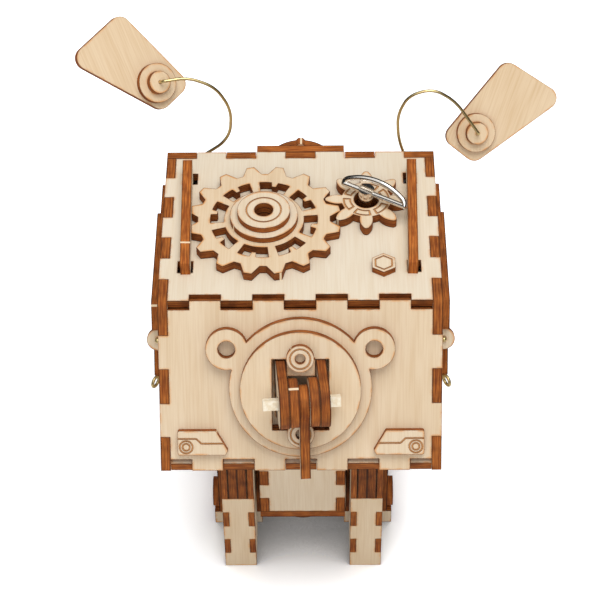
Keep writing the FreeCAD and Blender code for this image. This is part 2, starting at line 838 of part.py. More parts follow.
def side_lugs():
    head = disc(lug_radius, thin_ply, start=-thin_ply / 2)
    head = head.common(block(kerf - lug_out, lug_radius + beyond, -lug_radius, lug_radius, -ply, ply))
    lug = lay(head, lug_place(), right, up_slant).fuse(lug_neck(0)).removeSplitter()
    return both(lug.cut(lay(disc(lug_hole_radius, ply, start=-ply / 2), lug_place(), right, up_slant)))


def screw_eye_shank():
    """Shank of the right-hand screw eye, from its ring into the shield's near edge."""
    turn = math.radians(screw_eye_turn)
    heading = Vector(-math.sin(turn), math.cos(turn), 0)
    chin = (screw_eye_drop - shield_chin_drop) / (shield_bottom - shield_chin_drop)
    entry = Vector(half_width + screw_eye_out, shield_chin + chin * (shield_toe - shield_chin), -screw_eye_drop)
    start = entry - heading * (screw_eye_wire + screw_eye_neck)
    length = screw_eye_wire + screw_eye_neck + screw_eye_grip
    return Part.makeCylinder(screw_eye_wire, length, start, heading), start, heading


def side_hooks():
    """Brass: a ball-headed pin through each lug, and a screw eye in each shield below it."""
    shaft = disc(lug_hole_radius, thin_ply + lug_pin_head, start=-thin_ply / 2)
    ball = Part.makeSphere(lug_pin_head, Vector(0, 0, thin_ply / 2 + lug_pin_head))
    pin = lay(shaft.fuse(ball).removeSplitter(), lug_place(), right, up_slant)
    shank, start, heading = screw_eye_shank()
    ring = lay(Part.makeTorus(screw_eye_radius, screw_eye_wire), start - heading * screw_eye_radius, heading,
               upward)
    return Part.Compound([both(pin), both(ring.fuse(shank).removeSplitter())])


# Face

def nose_bar():
    half = nose_bar_width / 2
    return on_face(sheet([(-half, 0), (half, 0), (half, -nose_bar_height), (-half, -nose_bar_height)], ply),
                   box_depth)


def nose_discs():
    """A large round plate with a small tip at its top, a smaller one on it, and a pad behind them."""
    centre = (0, -nose_disc_drop)
    brow = math.sqrt(nose_disc_radius ** 2 - nose_tip_base ** 2 / 4) - nose_disc_drop
    tip_top = nose_disc_radius - nose_disc_drop + nose_tip_height
    tip = sheet([(-nose_tip_base / 2, brow), (nose_tip_base / 2, brow), (nose_tip_top / 2, tip_top),
                 (-nose_tip_top / 2, tip_top)], ply)
    nose = disc(nose_disc_radius, ply, centre).fuse(tip).removeSplitter()
    button = disc(nose_button_radius, ply, centre, ply)
    pad = sheet([(nose_bar_width / 2, -nose_bar_height), (-nose_bar_width / 2, -nose_bar_height),
                 (-nose_pad_width / 2, -nose_disc_drop - nose_pad_height),
                 (nose_pad_width / 2, -nose_disc_drop - nose_pad_height)], ply, -ply)
    return Part.Compound([on_face(shape, box_depth + ply) for shape in (pad, nose, button)])


def eyes():
    """A ring and a pupil for each eye."""
    centre = (eye_x, -eye_drop)
    ring = disc(eye_ring_radius, thin_ply, centre).cut(disc(eye_window_radius, thin_ply, centre))
    pupil = disc(pupil_radius, ply, centre)
    return Part.Compound([both(on_face(ring, box_depth)), both(on_face(pupil, box_depth))])


# Ears

def ear_end(ear):
    """Where the wire meets the plate's upper face."""
    across, out, up = ear["end"]
    return Vector(ear["side"] * ear_pivot_x + across, box_depth + out, up - ear_pivot_drop)


def on_ear(shape, ear):
    """Piece drawn with the ear's tip up and the upper face of its plate at z = 0."""
    facing = Vector(ear["facing"]).normalize()
    across = Vector(ear["pointing"]).cross(facing).normalize()
    return lay(shape, ear_end(ear), across, facing.cross(across))


def ear_wire(ear):
    socket_x = ear["side"] * ear_pivot_x
    y = box_depth + ear_wire_out
    facing = Vector(ear["facing"]).normalize()
    points = [Vector(socket_x, box_depth - ply, -ear_pivot_drop), Vector(socket_x, y, -ear_pivot_drop)]
    points += [Vector(socket_x + across, y, up - ear_pivot_drop) for across, up in ear["route"]]
    points += [ear_end(ear) + facing * (2 * thin_ply + ear_standoff), ear_end(ear)]
    bends = widest_bends(points)
    bends[0] = ear_bend
    bends[-1] = ear_bend
    return bent_wire(points, ear_wire_radius, bends)


def ear_plate(ear):
    """Lopsided plate with rounded corners, drawn with its outer side towards +x for either ear."""
    plate = sheet([(ear["side"] * across, up) for across, up in ear["outline"]], thin_ply, -thin_ply)
    corners = [edge for edge in plate.Edges if is_upright(edge)]
    return on_ear(plate.makeFillet(ear_corner, corners), ear)


def ear_bosses(ear):
    hole = disc(ear_wire_radius, 2 * thin_ply)
    lower = disc(ear_boss_lower, thin_ply).cut(hole)
    upper = disc(ear_boss_upper, thin_ply, start=thin_ply).cut(hole)
    return Part.Compound([on_ear(lower, ear), on_ear(upper, ear)])


def ear_sockets():
    centre = (ear_pivot_x, -ear_pivot_drop)
    socket = disc(ear_socket_radius, ply, centre).cut(disc(ear_wire_radius + running_gap, ply, centre))
    return both(on_face(socket, box_depth))


# Torso

def torso_panel():
    """Near or far wall, with fingers between those of the two sides."""
    half = torso_width / 2
    low = torso_low + ply
    panel = block(-half, half, low, -box_height, 0, ply)
    top = low + torso_fingers * torso_finger
    for side in (-1, 1):
        panel = notched(panel, (side * half, low), (side * half, top), (-side, 0), torso_fingers, 1, ply)
    return panel


def torso_rear_panel():
    return lay(torso_panel(), Vector(0, torso_near + ply, 0), right, upward)


def torso_front_panel():
    return lay(torso_panel(), Vector(0, torso_far, 0), right, upward)


def torso_sides():
    """Between the other walls' fingers; above these fingers they stop at the inner faces."""
    low = torso_low + ply
    top = low + torso_fingers * torso_finger
    panel = block(torso_near, torso_far, low, top, 0, ply)
    for y, inward in ((torso_near, 1), (torso_far, -1)):
        panel = notched(panel, (y, low), (y, top), (inward, 0), torso_fingers, 2, ply)
    upper = block(torso_near + ply, torso_far - ply, top - beyond, -box_height, 0, ply)
    holes = [disc(leg_axle_radius, ply, centre) for centre in (hind_axle, front_hip)]
    return both(on_side(panel.fuse(upper).removeSplitter().cut(holes), torso_width / 2 - ply))


def torso_base():
    """Floor of the torso, with a round plate glued under its near edge."""
    half = torso_width / 2
    floor = block(-half, half, torso_near, torso_far, torso_low, torso_low + ply)
    centre = (0, torso_near + under_plate_inset + under_plate_radius)
    return Part.Compound([floor, disc(under_plate_radius, thin_ply, centre, torso_low - thin_ply)])


# Legs: their profiles are drawn with y and z as their two axes

def hind_profile(low, thickness):
    """Round thigh over a straight shin, down to low."""
    heel = hind_leg_near + hind_leg_depth
    back = hind_hip[0] + hind_hip_radius
    knee = max(low, hind_knee_height - stand_height)
    outline = [(back, hind_hip[1]), (hind_leg_near, hind_hip[1]), (hind_leg_near, low), (heel, low)]
    if knee > low:
        outline.append((heel, knee))
    leg = sheet(outline, thickness).fuse(disc(hind_hip_radius, thickness, hind_hip)).removeSplitter()
    return leg.cut(disc(leg_axle_radius, thickness, hind_axle))


def hind_leg_sides():
    """Two thin plates for each leg, notched for the fingers of its front plate."""
    plate = hind_profile(-stand_height, thin_ply)
    plate = notched(plate, (hind_leg_near, hind_front_top), (hind_leg_near, -stand_height), (1, 0),
                    hind_front_fingers, 1, thin_ply, thin_ply)
    places = (hind_leg_x - hind_leg_half, hind_leg_x + hind_leg_half - thin_ply)
    return Part.Compound([both(on_side(plate, x)) for x in places])


def hind_leg_cores():
    """Two thick layers for each thigh, with a little air between them and its thin plates."""
    core = hind_profile(hind_front_top, ply)
    return Part.Compound([both(on_side(core, x)) for x in (hind_leg_x - ply, hind_leg_x)])


def hind_leg_fronts():
    plate = block(hind_leg_x - hind_leg_half, hind_leg_x + hind_leg_half, -stand_height, hind_front_top, 0,
                  thin_ply)
    for side in (-1, 1):
        x = hind_leg_x + side * hind_leg_half
        plate = notched(plate, (x, hind_front_top), (x, -stand_height), (-side, 0), hind_front_fingers, 2,
                        thin_ply, thin_ply)
    return both(lay(plate, Vector(0, hind_leg_near + thin_ply, 0), right, upward))


def front_profile(thickness):
    """Round hip over a leg that narrows down to its foot."""
    foot = 2 * ply - stand_height
    outline = [(front_leg_near, front_hip[1]), (front_leg_near, foot), (front_leg_near + front_leg_depth, foot),
               (front_hip[0] + front_hip_radius, front_hip[1])]
    leg = sheet(outline, thickness).fuse(disc(front_hip_radius, thickness, front_hip)).removeSplitter()
    return leg.cut(disc(leg_axle_radius, thickness, front_hip))


def front_leg_sides():
    plate = front_profile(ply)
    places = (front_leg_x - front_leg_half, front_leg_x + front_leg_half - ply)
    return Part.Compound([both(on_side(plate, x)) for x in places])


def front_leg_cores():
    core = front_profile(thin_ply)
    inner = front_leg_x - front_leg_half + ply
    layers = [both(on_side(core, inner + number * thin_ply)) for number in range(front_core_layers)]
    return Part.Compound(layers)


def front_ankle_discs():
    centre = (front_leg_near + ankle_disc_radius, 2 * ply + ankle_disc_radius - stand_height)
    return both(on_side(disc(ankle_disc_radius, thin_ply, centre), front_leg_x + front_leg_half))


def front_feet():
    """Two layers of sole for each foot, behind its cap."""
    layers = []
    for number in range(2):
        low = number * ply - stand_height
        layers.append(both(block(front_leg_x - front_leg_half, front_leg_x + front_leg_half,
                                 front_leg_near + ply, feet_far, low, low + ply)))
    return Part.Compound(layers)


def front_foot_caps():
    return both(block(front_leg_x - front_cap_inner, front_leg_x + front_cap_outer, front_leg_near,
                      front_leg_near + ply, -stand_height, 2 * ply - stand_height))


def leg_axles():
    axles = []
    for (y, z), reach in ((hind_axle, hind_leg_x + hind_leg_half), (front_hip, front_leg_x + front_leg_half)):
        axles.append(on_side(disc(leg_axle_radius, 2 * reach, (y, z)), -reach))
    return Part.Compound(axles)


# Movement: everything hangs from its base, which is screwed under the top

base_low = -ply - base_thick
base_left = key_x - base_left_of_key
base_far = box_depth - ply - base_face_gap
base_near = base_far - base_width
base_screws = [(base_left + base_screw_inset, base_near + base_screw_inset),
               (base_left + base_screw_inset, base_far - base_screw_inset),
               (base_left + base_length - base_screw_inset, base_near + base_screw_inset)]
drum_low = base_low - drum_height
wheel_top = drum_low - end_play
pinion_left = key_x - wheel_radius + kerf
pinion_tip = -wheel_top - crown_tooth - cylinder_drop - tooth_gap
cylinder_left = key_x - cylinder_left_of_key
left_bearing = cylinder_left - end_play - bearing_thick
right_bearing = pinion_left - end_play - bearing_thick
worm_wheel_left = left_bearing - end_play - worm_wheel_thick
comb_near = key_y - cylinder_radius - comb_tip_gap - comb_length
comb_width = comb_teeth * comb_pitch
comb_top = comb_thick / 2 - cylinder_drop
comb_screws = [(cylinder_left + comb_screw_inset, comb_near + comb_back / 2),
               (cylinder_left + comb_width - comb_screw_inset, comb_near + comb_back / 2)]
worm_x = worm_wheel_left + worm_wheel_thick / 2
worm_y = key_y + worm_wheel_radius + worm_radius + tooth_gap
fan_low = -cylinder_drop - worm_wheel_radius - end_play - fan_height
frame_low = fan_low - end_play - 2 * frame_arm


def along_cylinder(shape):
    """Piece drawn round the z axis, with its height along the cylinder."""
    return lay(shape, Vector(0, key_y, -cylinder_drop), away, upward)


def movement_base():
    """Plate with the cylinder's two bearings and the bed for its comb."""
    base = block(base_left, base_left + base_length, base_near, base_far, base_low, -ply)
    pieces = [block(cylinder_left, cylinder_left + comb_width, comb_near, comb_near + comb_back, comb_top,
                    base_low)]
    holes = [disc(arbor_radius + running_gap, base_thick, (key_x, key_y), base_low)]
    half = bearing_width / 2
    for start in (left_bearing, right_bearing):
        pieces.append(block(start, start + bearing_thick, key_y - half, key_y + half, -cylinder_drop - half,
                            base_low))
        holes.append(along_cylinder(disc(cylinder_arbor + running_gap, bearing_thick, start=start)))
    for x, y in base_screws:
        holes.append(disc(screw_radius, base_thick, (x, y), base_low))
    for x, y in comb_screws:
        holes.append(disc(screw_radius, screw_grip + kerf, (x, y), comb_top))
    return base.fuse(pieces).removeSplitter().cut(holes)


def spring_drum():
    """Can round the mainspring, with a bore for the arbor at both ends."""
    drum = disc(drum_radius, drum_height, (key_x, key_y), drum_low)
    hollow = disc(drum_radius - drum_wall, drum_height - 2 * drum_wall, (key_x, key_y), drum_low + drum_wall)
    return drum.cut([hollow, disc(arbor_radius + running_gap, drum_height, (key_x, key_y), drum_low)])


def spiral_edge(radius, growth):
    """Half-turn arcs whose radius grows by the same step each time, and the point where they end."""
    edges = []
    for number in range(2 * spring_turns):
        side = -1 if number % 2 else 1
        middle = growth * (number % 2)
        end = Vector(middle - side * radius, 0, 0)
        edges.append(Part.Arc(Vector(middle + side * radius, 0, 0), Vector(middle, side * radius, 0), end).toShape())
        radius += growth
    return edges, end


def mainspring():
    """Spiral strip inside the drum, round the arbor."""
    start = arbor_radius + 2 * kerf
    room = drum_radius - drum_wall - kerf - spring_strip
    growth = (room - start) / (2 * spring_turns)
    inner, inner_end = spiral_edge(start, growth)
    outer, outer_end = spiral_edge(start + spring_strip, growth)
    caps = [Part.LineSegment(Vector(start, 0, 0), Vector(start + spring_strip, 0, 0)).toShape(),
            Part.LineSegment(inner_end, outer_end).toShape()]
    wire = Part.Wire(Part.__sortEdges__(inner + outer + caps))
    strip = Part.Face(wire).extrude(Vector(0, 0, drum_height - 2 * drum_wall - 2 * kerf))
    strip.translate(Vector(key_x, key_y, drum_low + drum_wall + kerf))
    return strip


def toothed(count, tip, thickness):
    """Fine-toothed wheel with square teeth."""
    root = tip - tooth_depth
    tooth = sector(root - kerf, tip, 180 / count, thickness)
    teeth = [turned(tooth, 360 / count * number) for number in range(count)]
    return disc(root, thickness).fuse(teeth).removeSplitter()


def great_wheel():
    """Crown wheel on the arbor, with upright teeth along its rim."""
    tooth = sector(wheel_radius - wheel_rim, wheel_radius, 180 / wheel_teeth, crown_tooth, wheel_thick)
    teeth = [turned(tooth, 360 / wheel_teeth * number) for number in range(wheel_teeth)]
    wheel = disc(wheel_radius, wheel_thick).fuse(teeth).removeSplitter().cut(disc(arbor_radius, wheel_thick))
    wheel.translate(Vector(key_x, key_y, wheel_top - wheel_thick))
    return wheel


def key_arbor():
    low = wheel_top - wheel_thick
    return disc(arbor_radius, key_bore_top - low, (key_x, key_y), low)


def note_cylinder():
    """Pinned cylinder with its pinion, its worm wheel and their arbor."""
    cylinder_end = right_bearing - end_play
    arbor_end = pinion_left + pinion_width
    pieces = [disc(cylinder_arbor, arbor_end - worm_wheel_left, start=worm_wheel_left),
              toothed(worm_wheel_teeth, worm_wheel_radius, worm_wheel_thick).translated(
                  Vector(0, 0, worm_wheel_left)),
              toothed(pinion_teeth, pinion_tip, pinion_width).translated(Vector(0, 0, pinion_left))]
    pin = block(cylinder_radius - pin_width, cylinder_radius + pin_height, -pin_width / 2, pin_width / 2,
                0, pin_width)
    for track in range(comb_teeth):
        start = cylinder_left + track * comb_pitch + (comb_pitch - pin_width) / 2
        for row in range(pin_rows):
            angle = 360 / pin_rows * row + 47 * track + 13 * row * track
            pieces.append(turned(pin, angle).translated(Vector(0, 0, start)))
    cylinder = disc(cylinder_radius, cylinder_end - cylinder_left, start=cylinder_left).fuse(pieces)
    return along_cylinder(cylinder.removeSplitter())


def comb():
    """Steel comb: a solid back and one slot between each tooth and the next."""
    plate = block(0, comb_width, 0, comb_length, 0, comb_thick)
    cuts = []
    for number in range(1, comb_teeth):
        middle = number * comb_pitch
        cuts.append(block(middle - comb_slot / 2, middle + comb_slot / 2, comb_back, comb_length + beyond,
                          -beyond, comb_thick + beyond))
    for x, y in comb_screws:
        cuts.append(disc(screw_radius, comb_thick, (x - cylinder_left, y - comb_near)))
    return lay(plate.cut(cuts), Vector(cylinder_left, comb_near, comb_top - comb_thick), right, away)


def governor_frame():
    """Post with an arm above the worm and one below the fan."""
    half = frame_width / 2
    post_near = worm_y + fan_radius + 2 * end_play
    pieces = []
    for low in (base_low - 2 * frame_arm, frame_low):
        pieces.append(block(worm_x - half, worm_x + half, worm_y - worm_radius, post_near + frame_arm, low,
                            low + frame_arm))
    post = block(worm_x - half, worm_x + half, post_near, post_near + frame_arm, frame_low, base_low)
    frame = post.fuse(pieces).removeSplitter()
    bore = disc(worm_shaft_radius + running_gap, base_low - frame_low, (worm_x, worm_y), frame_low)
    return frame.cut(bore)


def governor_rotor():
    """Worm shaft with its two-bladed fan."""
    shaft = disc(worm_shaft_radius, base_low - frame_arm - frame_low, (worm_x, worm_y), frame_low)
    worm = disc(worm_radius, worm_length, (worm_x, worm_y), -cylinder_drop - worm_length / 2)
    fan = block(worm_x - fan_radius, worm_x + fan_radius, worm_y - fan_thick / 2, worm_y + fan_thick / 2,
                fan_low, fan_low + fan_height)
    return shaft.fuse([worm, fan]).removeSplitter()


def screw(place, seat, through):
    """Round-headed screw driven upwards from its seat, through one piece and into the next."""
    head = disc(screw_head_radius, screw_head_height, place, seat - screw_head_height)
    return disc(screw_radius - kerf, through + screw_grip, place, seat).fuse(head).removeSplitter()


def movement_screws():
    """Three hold the base under the top and two hold the comb under its bed."""
    screws = [screw(place, base_low, base_thick) for place in base_screws]
    screws += [screw(place, comb_top - comb_thick, comb_thick) for place in comb_screws]
    return Part.Compound(screws)


# Key

def bar_direction():
    angle = math.radians(key_turned)
    return Vector(math.cos(angle), math.sin(angle), 0)


key_bore_top = key_bar_height - 2 * key_wire_radius


def key_hub():
    """Sits on the arbor, with a cross hole for the bow's bar."""
    hub = disc(key_hub_radius, key_hub_length, (key_x, key_y), key_hub_top - key_hub_length)
    bore = disc(arbor_radius, key_hub_length, (key_x, key_y), key_bore_top - key_hub_length)
    middle = Vector(key_x, key_y, key_bar_height)
    cross = Part.makeCylinder(key_wire_radius + running_gap, 4 * key_hub_radius,
                              middle - bar_direction() * (2 * key_hub_radius), bar_direction())
    return hub.cut([bore, cross])


def bow_arcs():
    """A flat arch between two tight ones, tangent to them, from the bar's right end to its left one."""
    half = key_bow_length / 2
    inset = half - key_bow_corner
    reach = (inset ** 2 + key_bow_depth ** 2 - key_bow_corner ** 2) / 2 / (key_bow_depth - key_bow_corner)
    middle_low = key_bow_depth - reach
    share = reach / math.hypot(inset, middle_low)
    join = (inset * share, middle_low - middle_low * share)
    angle = math.atan2(join[1], join[0] - inset) / 2
    belly = (inset + key_bow_corner * math.cos(angle), key_bow_corner * math.sin(angle))
    points = [(half, 0), belly, join, (0, key_bow_depth), (-join[0], join[1]), (-belly[0], belly[1]), (-half, 0)]
    points = [Vector(across, up, 0) for across, up in points]
    return [Part.Arc(*points[first:first + 3]).toShape() for first in (0, 2, 4)]


def key_bow():
    """Straight bar through the hub and an arch that joins its ends, raised as it was left."""
    half = key_bow_length / 2
    section = Part.Wire([Part.makeCircle(key_wire_radius, Vector(half, 0, 0), away)])
    loop = Part.Wire(bow_arcs()).makePipeShell([section], True, False)
    rod = Part.makeCylinder(key_wire_radius, key_bow_length, Vector(-half, 0, 0), right)
    ends = [Part.makeSphere(key_wire_radius, Vector(side * half, 0, 0)) for side in (-1, 1)]
    bow = loop.fuse([rod] + ends)
    bow.rotate(Vector(0, 0, 0), right, key_bow_raised)
    bow.rotate(Vector(0, 0, 0), upward, key_turned)
    bow.translate(Vector(key_x, key_y, key_bar_height) + bar_direction() * key_bow_shift)
    return bow


nodes = {
    "top_panel": top_panel, "bottom_panel": bottom_panel, "tail_panel": tail_panel, "face_panel": face_panel,
    "side_panel_left": lambda: mirrored(side_panel()), "side_panel_right": side_panel,
    "top_rails": top_rails, "big_gear": big_gear, "gear_hub_lower": gear_hub_lower,
    "gear_hub_upper": gear_hub_upper, "small_gear": small_gear, "hex_plate": hex_plate,
    "ring_plate": ring_plate, "tail_disc": tail_disc, "stop_plate": stop_plate, "tail_washers": tail_washers,
    "corner_tags": corner_tags, "tail_cheeks": tail_cheeks, "tail_spacers": tail_spacers,
    "tail_blade": tail_blade, "tail_axle": tail_axle, "side_shields": side_shields,
    "side_rear_plates": side_rear_plates, "side_lugs": side_lugs, "side_hooks": side_hooks,
    "nose_bar": nose_bar, "nose_discs": nose_discs, "eyes": eyes,
    "ear_wire_left": lambda: ear_wire(left_ear), "ear_wire_right": lambda: ear_wire(right_ear),
    "ear_plate_left": lambda: ear_plate(left_ear), "ear_plate_right": lambda: ear_plate(right_ear),
    "ear_bosses_left": lambda: ear_bosses(left_ear), "ear_bosses_right": lambda: ear_bosses(right_ear),
    "ear_sockets": ear_sockets, "torso_rear_panel": torso_rear_panel, "torso_front_panel": torso_front_panel,
    "torso_sides": torso_sides, "torso_base": torso_base, "hind_leg_sides": hind_leg_sides,
    "hind_leg_cores": hind_leg_cores, "hind_leg_fronts": hind_leg_fronts, "front_leg_sides": front_leg_sides,
    "front_leg_cores": front_leg_cores, "front_ankle_discs": front_ankle_discs, "front_feet": front_feet,
    "front_foot_caps": front_foot_caps, "leg_axles": leg_axles, "movement_base": movement_base,
    "spring_drum": spring_drum, "mainspring": mainspring, "great_wheel": great_wheel, "key_arbor": key_arbor,
    "note_cylinder": note_cylinder, "comb": comb, "governor_frame": governor_frame,
    "governor_rotor": governor_rotor, "movement_screws": movement_screws, "key_hub": key_hub, "key_bow": key_bow,
}

os.makedirs("parts", exist_ok=True)
to_floor = Vector(0, -feet_middle, stand_height)
for name, make in nodes.items():
    shape = make()
    shape.translate(to_floor)
    shape.exportStep("parts/" + name + ".step")
    print(name, len(shape.Solids), round(shape.Volume, 2), shape.isValid())

for name, place, axis in (("key_turn", Vector(key_x, key_y, 0), upward),
                          ("key_bow_fold", Vector(key_x, key_y, key_bar_height), bar_direction()),
                          ("tail_swing", tail_pivot, tail_across),
                          ("ear_swivel_left", Vector(-ear_pivot_x, box_depth, -ear_pivot_drop), away),
                          ("ear_swivel_right", Vector(ear_pivot_x, box_depth, -ear_pivot_drop), away),
                          ("cylinder_turn", Vector(0, key_y, -cylinder_drop), right),
                          ("governor_turn", Vector(worm_x, worm_y, -cylinder_drop), upward)):
    middle = place + to_floor
    print("joint", name, [round(v / 1000, 6) for v in middle], [round(v, 6) for v in axis])
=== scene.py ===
import math

import bmesh
import bpy
from mathutils import Matrix, Vector


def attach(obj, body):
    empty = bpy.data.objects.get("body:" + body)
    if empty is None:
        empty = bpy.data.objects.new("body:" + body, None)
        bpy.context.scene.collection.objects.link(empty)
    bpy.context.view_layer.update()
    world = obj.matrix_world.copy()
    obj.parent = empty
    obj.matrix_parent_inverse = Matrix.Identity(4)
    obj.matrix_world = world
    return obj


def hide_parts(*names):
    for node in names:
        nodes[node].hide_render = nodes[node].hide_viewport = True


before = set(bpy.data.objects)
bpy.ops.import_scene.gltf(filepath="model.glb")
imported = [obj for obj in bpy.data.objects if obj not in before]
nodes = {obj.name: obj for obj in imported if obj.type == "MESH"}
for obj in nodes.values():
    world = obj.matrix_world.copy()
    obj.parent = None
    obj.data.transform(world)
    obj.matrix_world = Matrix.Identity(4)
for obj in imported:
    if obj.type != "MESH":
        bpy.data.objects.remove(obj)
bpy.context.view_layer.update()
print("frame loaded")


# shader helpers

class Wire:
    # a number that runs between nodes, so that it can be written in sums
    def __init__(self, finish, socket):
        self.finish, self.socket = finish, socket

    def maths(self, operation, *values):
        return self.finish.add("Math", {"operation": operation}, dict(enumerate(values)))

    def __add__(self, other): return self.maths("ADD", self, other)
    def __radd__(self, other): return self.maths("ADD", other, self)
    def __sub__(self, other): return self.maths("SUBTRACT", self, other)
    def __rsub__(self, other): return self.maths("SUBTRACT", other, self)
    def __mul__(self, other): return self.maths("MULTIPLY", self, other)
    def __rmul__(self, other): return self.maths("MULTIPLY", other, self)
    def __truediv__(self, other): return self.maths("DIVIDE", self, other)
    def __lt__(self, other): return self.maths("LESS_THAN", self, other)
    def __gt__(self, other): return self.maths("GREATER_THAN", self, other)
    def __mod__(self, other): return self.maths("FLOORED_MODULO", self, other)
    def __abs__(self): return self.maths("ABSOLUTE", self)

    def lowest(self, other): return self.maths("MINIMUM", self, other)
    def highest(self, other): return self.maths("MAXIMUM", self, other)

    def between(self, low, high):
        # 0 below low, 1 above high, and a smooth rise from one to the other
        return self.finish.add("MapRange", {"interpolation_type": "SMOOTHSTEP"}, {0: self, 1: low, 2: high})


class Finish:
    # one material, built node by node
    def __init__(self, name):
        self.material = bpy.data.materials.new(name)
        self.material.use_nodes = True
        self.tree = self.material.node_tree
        self.tree.nodes.clear()

    def add(self, kind, settings=None, sockets=None, output=0):
        node = self.tree.nodes.new("ShaderNode" + kind)
        for key, value in (settings or {}).items():
            setattr(node, key, value)
        for key, value in (sockets or {}).items():
            if isinstance(value, Wire):
                self.tree.links.new(value.socket, node.inputs[key])
            else:
                node.inputs[key].default_value = value
        return Wire(self, node.outputs[output]) if len(node.outputs) else node

    def along(self, vector, direction):
        return self.add("VectorMath", {"operation": "DOT_PRODUCT"}, {0: vector, 1: direction}, "Value")

    def grown(self, vector, factor):
        return self.add("VectorMath", {"operation": "SCALE"}, {0: vector, "Scale": factor})

    def mix(self, amount, first, second):
        node = self.tree.nodes.new("ShaderNodeMix")
        node.data_type = "RGBA"
        for key, value in (("Factor_Float", amount), ("A_Color", first), ("B_Color", second)):
            socket = next(s for s in node.inputs if s.identifier == key)
            if isinstance(value, Wire):
                self.tree.links.new(value.socket, socket)
            else:
                socket.default_value = value
        return Wire(self, next(s for s in node.outputs if s.identifier == "Result_Color"))

    def done(self, sockets):
        surface = self.add("BsdfPrincipled", None, sockets)
        self.add("OutputMaterial", None, {"Surface": surface})
        return self.material


def paint(red, green, blue):
    # colour as picked on a screen, from 0 to 255
    shares = [channel / 255 for channel in (red, green, blue)]
    return tuple(s / 12.92 if s < 0.04045 else ((s + 0.055) / 1.055) ** 2.4 for s in shares) + (1.0,)


# directions and places, in millimetres over the floor

def lean(degrees, first, second):
    # first turned towards second
    return first * math.cos(math.radians(degrees)) + second * math.sin(math.radians(degrees))


def fromTop(x, y, z):
    # measured from the middle of the near edge of the box's top
    return Vector((x, y + topNear, z + topHeight))


topHeight, topNear = 118.0, -14.65
halfWidth, boxDepth = 42.5, 65.4
ply, thin = 3.0, 2.0  # the two sheets that the pieces are cut from
boxFloor, torsoFloor = topHeight - 46.083, topHeight - 100.483  # undersides
torsoNear, torsoFar, torsoHalf = topNear - 3.7, topNear + 46.3, 14.0
hindLeg, hindHalf, hindNear = 20.8, 5.2, topNear - 10.7  # middle, half width and near side
frontLeg, frontHalf, frontNear = 21.4, 7.0, topNear + 7.4
slant, railSplay, tailTwist, tailLean = 33, 1.25, 2, -4.5  # degrees
railShift = -0.27  # the middle between the rails, left of the box's own
spacerPlay = 0.05  # on each side of the tail's spacers
right, away, upward = Vector((1, 0, 0)), Vector((0, 1, 0)), Vector((0, 0, 1))
faceFar = topNear + boxDepth

upSlant = lean(slant, upward, away)
outward = lean(slant, -away, upward)
slantStart = fromTop(0, 0, 0).dot(outward)
tailAxle, lug = fromTop(0.942, -25.337, -17.051), fromTop(43.9, 5.9, -23.2)
tailAcross = lean(tailLean, lean(tailTwist, right, upSlant), outward)
tailMiddle = tailAxle.dot(tailAcross)

rail = fromTop(34.7, 33.45, 0)
railAcross = lean(-railSplay, right, away)

leftEar, rightEar = fromTop(-45.2, 71.6, 23.6), fromTop(56.1, 72.1, 1.9)
leftEarUp = Vector((0.434, -0.622, 0.652)).normalized()
rightEarUp = Vector((0.107, -0.801, 0.59)).normalized()
leftEarTop, rightEarTop = leftEar.dot(leftEarUp), rightEar.dot(rightEarUp)


# plywood

birch = {
    "pale": paint(230, 217, 196), "paleVein": paint(219, 201, 174),
    "warm": paint(228, 204, 171), "warmVein": paint(211, 180, 140),
    "vein": {"wide": 0.5, "long": 16.0, "detail": 2.0, "low": 0.36, "high": 0.68, "offset": 0.0},
    "figure": {"wide": 3.5, "long": 40.0, "detail": 1.0, "low": 0.35, "high": 0.7, "offset": 4.1},
    "cloud": {"wide": 9.0, "long": 30.0, "detail": 2.0, "low": 0.3, "high": 0.7, "offset": 7.3},
    "paleShares": (0.4, 0.2, 0.25), "warmShares": (0.4, 0.25, 0.3),  # of vein, figure and cloud
    "halo": paint(216, 150, 82), "haloReach": 0.0015, "haloFrom": 0.0,
    "smoke": {"size": 3.0, "detail": 1.0, "low": 0.36, "high": 0.66},
    "rim": paint(122, 66, 28), "rimReach": 0.00045, "rimFrom": 0.003, "fullFrom": 0.06, "bevelSamples": 8,
    "engraved": paint(206, 146, 88), "skin": 0.07, "shine": 0.2, "rough": 0.72, "faceSmoother": 0.1,
    "relief": 0.15, "reliefDepth": 0.0001,
}

cutEdge = {  # glueLine, glueWide, charAndShadeFrom and charAndShadeTo are shares of the thickness, from its middle outwards
    "base": paint(152, 78, 28), "light": paint(200, 118, 50), "dark": paint(66, 30, 12),
    "glue": paint(104, 50, 20), "glueLine": 0.17, "glueWide": 0.07, "glueShare": 0.45,
    "charAndShade": paint(30, 15, 8), "charAndShadeFrom": 0.33, "charAndShadeTo": 0.47,
    "threadsAlong": 0.16, "threadsThrough": 3.2, "threadDetail": 3.0, "threadLow": 0.38, "threadHigh": 0.62,
    "scorch": {"size": 4.5, "detail": 2.0, "low": 0.3, "high": 0.8}, "scorchShare": 0.4,
    "nick": paint(236, 214, 180), "nickReach": 0.38, "nickCore": 0.6,
}


